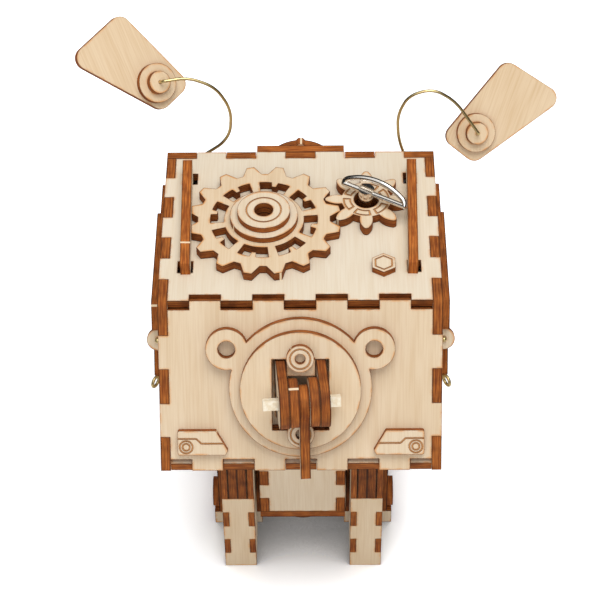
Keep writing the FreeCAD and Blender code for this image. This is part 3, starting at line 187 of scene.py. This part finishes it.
def plywood(name, axis, start, thickness, grain, warm=0.3, pair=None, layers=None, pitch=None, burn=0.5,
            toastAndShade=0.4, seed=0.0, skin=birch["skin"], nicks=()):
    # axis runs through the sheet, which begins at start along it. A node's sheets are mirrored about pair,
    # from left to right, or about layers, along the axis, or are stacked in steps of pitch. The wood goes
    # from pale to warm, its face from clean to smoky with burn, and its edge from light to dark with toast,
    # which is the laser's burn together with painted shade on pieces whose edges stand upright and painted
    # light on pieces whose edges face up.
    finish = Finish(name)
    axis = Vector(axis).normalized()
    grain = (Vector(grain) - axis * axis.dot(Vector(grain))).normalized()
    across = axis.cross(grain)
    place = finish.grown(finish.add("TexCoord", None, None, "Object"), 1000.0)
    facing = finish.add("TexCoord", None, None, "Normal")
    x, y, z = (finish.along(place, side) for side in (right, away, upward))
    folded = abs(x - pair) if pair is not None else x
    deep = folded * axis.x + y * axis.y + z * axis.z
    if layers is not None:
        deep = abs(deep - layers)
    deep = deep - start
    if pitch:
        deep = deep % pitch
    turned = abs(finish.along(facing, axis))
    if pair is not None and abs(axis.y) > 0:
        turned = abs(finish.along(facing, (axis.x, -axis.y, axis.z))).highest(turned)
    isFace = turned > 0.7
    onFace = isFace * (deep.lowest(thickness - deep) < skin)
    alongGrain = finish.along(place, grain)
    acrossGrain = finish.along(place, across)

    def noise(spot, detail, low, high):
        cloudy = finish.add("TexNoise", None, {"Vector": spot, "Scale": 1.0, "Detail": detail})
        return cloudy.between(low, high)

    def streaks(wide, long, detail, low, high, offset):
        spot = finish.add("CombineXYZ", None, {0: acrossGrain / wide + (offset + seed),
                                               1: alongGrain / long + seed, 2: deep / wide + offset})
        return noise(spot, detail, low, high)

    def patches(size, detail, low, high):
        return noise(finish.grown(place, 1 / size), detail, low, high)

    # the veneer
    vein, figure, cloud = (streaks(**birch[part]) for part in ("vein", "figure", "cloud"))

    def veneer(tone):
        ofVein, ofFigure, ofCloud = birch[tone + "Shares"]
        dark = vein * ofVein + figure * ofFigure + cloud * ofCloud
        return finish.mix(dark, birch[tone], birch[tone + "Vein"])

    face = finish.mix(warm, veneer("pale"), veneer("warm"))

    flat = finish.add("NewGeometry", None, None, "Normal")

    def nearEdge(reach):
        # 0 on the open face, and about 0.3 at an edge
        rounded = finish.add("Bevel", {"samples": birch["bevelSamples"]}, {"Radius": reach})
        return 1 - finish.add("VectorMath", {"operation": "DOT_PRODUCT"}, {0: rounded, 1: flat}, "Value")

    # the cutter's smoke and its dark line along every edge
    halo = nearEdge(birch["haloReach"]).between(birch["haloFrom"], birch["fullFrom"])
    halo = halo * patches(**birch["smoke"])
    face = finish.mix(halo * (0.4 + burn * 0.6), face, birch["halo"])
    rim = nearEdge(birch["rimReach"]).between(birch["rimFrom"], birch["fullFrom"])
    face = finish.mix(rim * (0.6 + burn * 0.35), face, birch["rim"])

    # the cut edge: threads that run along it, glue lines, dark patches, and near-black bands along both
    # borders, which are charring and also painted shade under edges that overhang the next piece
    layer = abs(deep / thickness - 0.5)
    glue = 1 - abs(layer - cutEdge["glueLine"]).between(0.0, cutEdge["glueWide"])
    border = layer.between(cutEdge["charAndShadeFrom"], cutEdge["charAndShadeTo"])
    rate = cutEdge["threadsAlong"]
    lines = finish.add("CombineXYZ", None, {0: acrossGrain * rate + seed, 1: alongGrain * rate,
                                            2: deep * cutEdge["threadsThrough"]})
    thread = noise(lines, cutEdge["threadDetail"], cutEdge["threadLow"], cutEdge["threadHigh"])
    scorch = (patches(**cutEdge["scorch"]) - 0.5) * cutEdge["scorchShare"]
    edge = finish.mix(thread, cutEdge["base"], cutEdge["light"])
    edge = finish.mix(glue * cutEdge["glueShare"], edge, cutEdge["glue"])
    # toast darkens the whole edge: the laser's burn, with painted shade on pieces whose edges stand upright;
    # a low toast is painted light on edges that face up
    edge = finish.mix((toastAndShade + scorch).lowest(1.0).highest(0.0), edge, cutEdge["dark"])
    # near-black borders of the edge: charring, and painted shade under edges that overhang the next piece
    edge = finish.mix(border * (0.5 + toastAndShade * 0.5), edge, cutEdge["charAndShade"])

    # pale spots where the piece was held in its sheet
    throughSheet = finish.along(place, axis)
    for nick in nicks:
        spot, reach = Vector(nick), cutEdge["nickReach"]
        sideways = abs(alongGrain - spot.dot(grain)).highest(abs(acrossGrain - spot.dot(across)))
        near = 1 - sideways.between(reach * cutEdge["nickCore"], reach)
        near = near * (abs(throughSheet - spot.dot(axis)) < thickness)
        edge = finish.mix(near, edge, cutEdge["nick"])

    cut = finish.mix(isFace, edge, birch["engraved"])
    bump = finish.add("Bump", None, {"Strength": birch["relief"], "Distance": birch["reliefDepth"],
                                     "Height": vein * 0.5 + thread * 0.5})
    return finish.done({"Base Color": finish.mix(onFace, cut, face), "Normal": bump,
                        "Roughness": birch["rough"] - onFace * birch["faceSmoother"],
                        "Specular IOR Level": birch["shine"]})


sheets = {  # node: axis, start, thickness, grain, and what differs from the plain finish
    "top_panel": (upward, topHeight - ply, ply, away, {"warm": 0.0, "burn": 0.35, "toastAndShade": 0.6}),
    "bottom_panel": (upward, boxFloor, ply, away, {"warm": 0.4}),
    "tail_panel": (outward, slantStart - ply, ply, upSlant, {"warm": 0.75, "toastAndShade": 0.5}),
    "face_panel": (away, faceFar - ply, ply, upward, {"warm": 0.4}),
    "side_panel_left": (right, -halfWidth, ply, upward, {"burn": 0.4}),
    "side_panel_right": (right, halfWidth - ply, ply, upward, {"burn": 0.4, "seed": 3.1}),

    "top_rails": (railAcross, rail.dot(railAcross) - ply / 2, ply, away,
                  {"pair": railShift, "burn": 0.25, "toastAndShade": 0.12, "nicks": [(-34.7, 4.7, 123.3)]}),
    "big_gear": (upward, topHeight, ply, away,
                 {"warm": 0.85, "burn": 0.8, "seed": 1.7, "toastAndShade": 0.6, "nicks": [(-5.8, -6.1, 119.3)]}),
    "gear_hub_lower": (upward, topHeight + ply, thin, away,
                       {"warm": 0.35, "seed": 2.9, "nicks": [(-20.3, 12.1, 122.4)]}),
    "gear_hub_upper": (upward, topHeight + ply + thin, thin, away, {"warm": 0.35, "seed": 5.3}),
    "small_gear": (upward, topHeight, ply, away,
                   {"warm": 0.6, "burn": 0.6, "seed": 4.1, "toastAndShade": 0.55, "nicks": [(11.5, 16.4, 119.9)]}),
    "hex_plate": (upward, topHeight, thin, away, {"warm": 0.4, "seed": 6.1}),

    "ring_plate": (outward, slantStart, ply, upSlant,
                   {"warm": 0.8, "seed": 2.2, "nicks": [(-12.3, -40.4, 81.2)]}),
    "tail_disc": (outward, slantStart + ply, ply, upSlant, {"warm": 0.75, "seed": 4.7}),
    "stop_plate": (outward, slantStart + 2 * ply, thin, upSlant, {"warm": 0.9, "seed": 1.2}),
    "tail_washers": (outward, slantStart + 2 * ply, thin, upSlant,
                     {"warm": 0.5, "pitch": thin, "seed": 3.7, "nicks": [(-2.9, -28.6, 112.6)]}),
    "corner_tags": (outward, slantStart, thin, upSlant,
                    {"warm": 0.6, "seed": 5.9, "nicks": [(-25.1, -37.8, 85.1)]}),
    "tail_cheeks": (tailAcross, 1.5 * ply, ply, upSlant, {"layers": tailMiddle, "burn": 0.75, "toastAndShade": 0.5}),
    "tail_spacers": (tailAcross, ply / 2 + spacerPlay, ply - 2 * spacerPlay, upSlant,
                     {"layers": tailMiddle, "burn": 0.75, "seed": 2.0, "nicks": [(-2.9, -41.1, 108.3)]}),
    "tail_blade": (tailAcross, tailMiddle - ply / 2, ply, upSlant, {"burn": 0.6, "seed": 4.0}),

    "side_shields": (right, halfWidth, ply, away, {"pair": 0, "burn": 0.6, "nicks": [(-44.7, -5.6, 106.5)]}),
    "side_rear_plates": (right, halfWidth, thin, upward, {"pair": 0, "burn": 0.6}),
    "side_lugs": (outward, lug.dot(outward) - thin / 2, thin, upSlant, {"warm": 0.4}),

    "nose_bar": (away, faceFar, ply, upward, {"warm": 0.4, "toastAndShade": 0.2}),
    "nose_discs": (away, faceFar, ply, upward, {"warm": 0.4, "pitch": ply, "nicks": [(0.2, 56.2, 118.6)]}),
    "eyes": (away, faceFar, ply, upward, {"warm": 0.5, "skin": 1.2}),  # deep enough for the thin rings
    "ear_plate_left": (leftEarUp, leftEarTop - thin, thin, upward, {"warm": 1.0, "burn": 0.2}),
    "ear_plate_right": (rightEarUp, rightEarTop - thin, thin, lean(20, upward, right),
                        {"warm": 1.0, "burn": 0.2, "seed": 3.3}),
    "ear_bosses_left": (leftEarUp, leftEarTop, thin, upward, {"warm": 1.0, "pitch": thin}),
    "ear_bosses_right": (rightEarUp, rightEarTop, thin, upward, {"warm": 1.0, "pitch": thin}),
    "ear_sockets": (away, faceFar, ply, upward, {"warm": 0.4}),

    "torso_rear_panel": (away, torsoNear, ply, upward, {"warm": 0.4}),
    "torso_front_panel": (away, torsoFar - ply, ply, upward, {}),
    "torso_sides": (right, torsoHalf - ply, ply, upward, {"pair": 0}),
    "torso_base": (upward, torsoFloor, ply, away, {"warm": 0.5}),
    "hind_leg_sides": (right, hindLeg - hindHalf, thin, upward, {"pair": 0, "pitch": 2 * hindHalf - thin}),
    "hind_leg_cores": (right, hindLeg - ply, ply, upward,
                       {"pair": 0, "pitch": ply, "burn": 0.9, "toastAndShade": 0.65}),
    "hind_leg_fronts": (away, hindNear, thin, upward, {"warm": 0.8}),
    "front_leg_sides": (right, frontLeg - frontHalf, ply, upward,
                        {"pair": 0, "pitch": 2 * frontHalf - ply, "burn": 0.8, "toastAndShade": 0.6}),
    "front_leg_cores": (right, frontLeg - frontHalf + ply, thin, upward,
                        {"pair": 0, "pitch": thin, "burn": 0.9, "toastAndShade": 0.65}),
    "front_ankle_discs": (right, frontLeg + frontHalf, thin, upward, {"pair": 0, "burn": 0.8}),
    "front_feet": (upward, 0.0, ply, away, {"warm": 0.5, "pitch": ply}),
    "front_foot_caps": (away, frontNear, ply, upward, {"warm": 0.4, "burn": 0.8}),
}


def dress(node, material):
    nodes[node].data.materials.clear()
    nodes[node].data.materials.append(material)


for node, (axis, start, thickness, grain, extras) in sheets.items():
    dress(node, plywood("ply_" + node, axis, start, thickness, grain, **extras))
print("plywood done")


# metal and the light stick

metals = {
    "chrome": {"colour": paint(224, 219, 212), "rough": 0.1},
    "brass": {"colour": paint(206, 184, 132), "rough": 0.3},
    "steel": {"colour": paint(176, 178, 180), "rough": 0.38},
    "movementBrass": {"colour": paint(196, 160, 92), "rough": 0.34},
}
smears = {"scale": 260.0, "detail": 3.0, "share": 0.06}
stickWood = {"light": paint(246, 238, 220), "dark": paint(232, 216, 186), "rough": 0.6,
             "fibreScale": 900.0, "fibreDetail": 3.0, "fibreLow": 0.3, "fibreHigh": 0.7}


def metal(name):
    facts = metals[name]
    finish = Finish(name)
    place = finish.add("TexCoord", None, None, "Object")
    smear = finish.add("TexNoise", None, {"Vector": place, "Scale": smears["scale"],
                                          "Detail": smears["detail"]})
    return finish.done({"Base Color": facts["colour"], "Metallic": 1.0,
                        "Roughness": facts["rough"] + smear * smears["share"]})


def stick():
    finish = Finish("light_stick")
    place = finish.add("TexCoord", None, None, "Object")
    fibres = finish.add("TexNoise", None, {"Vector": place, "Scale": stickWood["fibreScale"],
                                           "Detail": stickWood["fibreDetail"]})
    fibres = fibres.between(stickWood["fibreLow"], stickWood["fibreHigh"])
    colour = finish.mix(fibres, stickWood["light"], stickWood["dark"])
    return finish.done({"Base Color": colour, "Roughness": stickWood["rough"]})


finishes = {name: metal(name) for name in metals}
finishes["stick"] = stick()
wearing = {
    "steel": ["movement_base", "spring_drum", "mainspring", "key_arbor", "comb", "governor_frame",
              "governor_rotor", "movement_screws"],
    "movementBrass": ["great_wheel", "note_cylinder"],
    "stick": ["tail_axle", "leg_axles"],
}
for finishName, names in wearing.items():
    for node in names:
        dress(node, finishes[finishName])

wires = {  # node: the body that carries it, its finish and the record's slot
    "key_hub": ("key", "chrome", "key_steel"),
    "key_bow": ("bow", "chrome", "key_steel"),
    "ear_wire_left": ("ear_left", "brass", "brass_wire"),
    "ear_wire_right": ("ear_right", "brass", "brass_wire"),
    "side_hooks": ("case", "brass", "brass_wire"),
}
roundness = {"merge": 2e-6, "slivers": 1e-6, "sharpFrom": 40}  # metres, metres and degrees


def smoothCopy(node, body, finishName, slotName):
    # the same form with its facets merged and its rounds shaded as rounds
    shape = bmesh.new()
    shape.from_mesh(nodes[node].data)
    bmesh.ops.remove_doubles(shape, verts=shape.verts, dist=roundness["merge"])
    bmesh.ops.dissolve_degenerate(shape, edges=shape.edges, dist=roundness["slivers"])
    for face in shape.faces:
        face.smooth = True
    for edge in shape.edges:
        edge.smooth = edge.calc_face_angle(0.0) < math.radians(roundness["sharpFrom"])
    mesh = bpy.data.meshes.new("smooth_" + node)
    shape.to_mesh(mesh)
    shape.free()
    piece = bpy.data.objects.new("smooth_" + node, mesh)
    bpy.context.scene.collection.objects.link(piece)
    mesh.materials.append(finishes[finishName])
    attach(piece, body)
    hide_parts(node)


for node, facts in wires.items():
    smoothCopy(node, *facts)
print("metal done")


# floor, flag, light and camera

white = (1.0, 1.0, 1.0, 1.0)
floorFacts = {
    "size": 6.0, "tone": (0.8, 0.8, 0.8, 1.0), "glow": (0.05, 0.05, 0.05, 1.0), "rough": 0.9,
    "seen": (1.6, 1.64, 1.7, 1.0), "shade": (0.29, 0.31, 0.34, 1.0), "shadeReach": 0.055,
    "shadeFrom": 0.15, "shadeTo": 0.75, "shadeSamples": 8, "whiteFrom": 0.12, "whiteTo": 0.45,
}


def makeFloor():
    mesh = bpy.data.meshes.new("floor")
    shape = bmesh.new()
    bmesh.ops.create_grid(shape, x_segments=2, y_segments=2, size=floorFacts["size"])
    shape.to_mesh(mesh)
    shape.free()
    floor = bpy.data.objects.new("floor", mesh)
    bpy.context.scene.collection.objects.link(floor)
    # white to the camera, with painted shade that darkens it close to what stands on it
    finish = Finish("floor_white")
    seen = finish.add("LightPath", None, None, "Is Camera Ray")
    clear = finish.add("AmbientOcclusion", {"samples": floorFacts["shadeSamples"]},
                       {"Distance": floorFacts["shadeReach"]}, "AO")
    clear = clear.between(floorFacts["shadeFrom"], floorFacts["shadeTo"])
    colour = finish.mix(seen, floorFacts["tone"], finish.mix(clear, floorFacts["shade"], floorFacts["seen"]))
    spot = finish.add("TexCoord", None, None, "Object")
    distance = finish.add("VectorMath", {"operation": "LENGTH"}, {0: spot}, "Value")
    far = distance.between(floorFacts["whiteFrom"], floorFacts["whiteTo"]) * seen
    glow = finish.mix(far, floorFacts["glow"], white)
    mesh.materials.append(finish.done({"Base Color": colour, "Roughness": floorFacts["rough"],
                                       "Specular IOR Level": 0.0, "Emission Color": glow,
                                       "Emission Strength": 1.0}))


flagFacts = {"reach": 0.45, "front": 0.25, "rear": 0.85, "sides": 48, "tone": paint(30, 30, 30)}


def makeFlag():
    # a black screen round the object, low in front and high behind, which only reflections see
    mesh = bpy.data.meshes.new("flag")
    shape = bmesh.new()
    reach, front, rear = flagFacts["reach"], flagFacts["front"], flagFacts["rear"]
    bmesh.ops.create_cone(shape, cap_ends=False, segments=flagFacts["sides"], radius1=reach, radius2=reach,
                          depth=2 * rear)
    slope = Vector((0.0, front - rear, 2 * reach))
    bmesh.ops.bisect_plane(shape, geom=shape.verts[:] + shape.edges[:] + shape.faces[:],
                           plane_co=(0.0, 0.0, (front + rear) / 2), plane_no=slope, clear_outer=True)
    shape.to_mesh(mesh)
    shape.free()
    flag = bpy.data.objects.new("flag", mesh)
    bpy.context.scene.collection.objects.link(flag)
    flag.visible_camera = flag.visible_diffuse = False
    flag.visible_shadow = flag.visible_transmission = False
    finish = Finish("flag_black")
    mesh.materials.append(finish.done({"Base Color": flagFacts["tone"], "Roughness": 1.0}))


lamps = {  # power, size, place, aim
    "top_softbox": (6.7, 0.7, (0.1, -0.1, 1.1), (0, 0, 0.05)),
    "front_softbox": (4.4, 0.9, (-0.1, -1.1, 0.75), (0, 0, 0.08)),
}
worldLight = 0.42


def makeLamp(name, power, size, place, aim):
    lamp = bpy.data.lights.new(name, "AREA")
    lamp.size = size
    lamp.energy = power
    holder = bpy.data.objects.new(name, lamp)
    holder.location = place
    holder.rotation_euler = (Vector(aim) - Vector(place)).to_track_quat("-Z", "Y").to_euler()
    bpy.context.scene.collection.objects.link(holder)


def makeWorld():
    # full white to the camera and in reflections, and weaker as light
    world = bpy.data.worlds.new("studio")
    world.use_nodes = True
    tree = world.node_tree
    tree.nodes.clear()
    path = tree.nodes.new("ShaderNodeLightPath")
    seen = tree.nodes.new("ShaderNodeMath")
    seen.operation = "MAXIMUM"
    tree.links.new(path.outputs["Is Camera Ray"], seen.inputs[0])
    tree.links.new(path.outputs["Is Glossy Ray"], seen.inputs[1])
    strength = tree.nodes.new("ShaderNodeMapRange")
    strength.inputs["To Min"].default_value = worldLight
    strength.inputs["To Max"].default_value = 1.0
    tree.links.new(seen.outputs[0], strength.inputs["Value"])
    back = tree.nodes.new("ShaderNodeBackground")
    back.inputs["Color"].default_value = white
    tree.links.new(strength.outputs[0], back.inputs["Strength"])
    out = tree.nodes.new("ShaderNodeOutputWorld")
    tree.links.new(back.outputs[0], out.inputs[0])
    bpy.context.scene.world = world


view = {"place": fromTop(5.0, -410.3, 432.7), "pitch": 46.51, "yaw": -0.698, "roll": -0.78, "lens": 120.45,
        "sensor": 36.0, "nearest": 0.01}


def makeCamera():
    pitch, yaw, roll = (math.radians(view[key]) for key in ("pitch", "yaw", "roll"))
    ahead = Vector((math.sin(yaw) * math.cos(pitch), math.cos(yaw) * math.cos(pitch), -math.sin(pitch)))
    side = Vector((math.cos(yaw), -math.sin(yaw), 0))
    top = side.cross(ahead)
    sideways = side * math.cos(roll) + top * math.sin(roll)
    top = top * math.cos(roll) - side * math.sin(roll)
    camera = bpy.data.objects.new("camera", bpy.data.cameras.new("camera"))
    camera.data.lens = view["lens"]
    camera.data.sensor_width = view["sensor"]
    camera.data.clip_start = view["nearest"]
    turn = Matrix((sideways, top, -ahead)).transposed().to_4x4()
    camera.matrix_world = Matrix.Translation(view["place"] / 1000) @ turn
    bpy.context.scene.collection.objects.link(camera)
    bpy.context.scene.camera = camera


makeFloor()
makeFlag()
makeWorld()
for name, facts in lamps.items():
    makeLamp(name, *facts)
makeCamera()
bpy.context.scene.view_settings.view_transform = "Standard"
print("studio done")
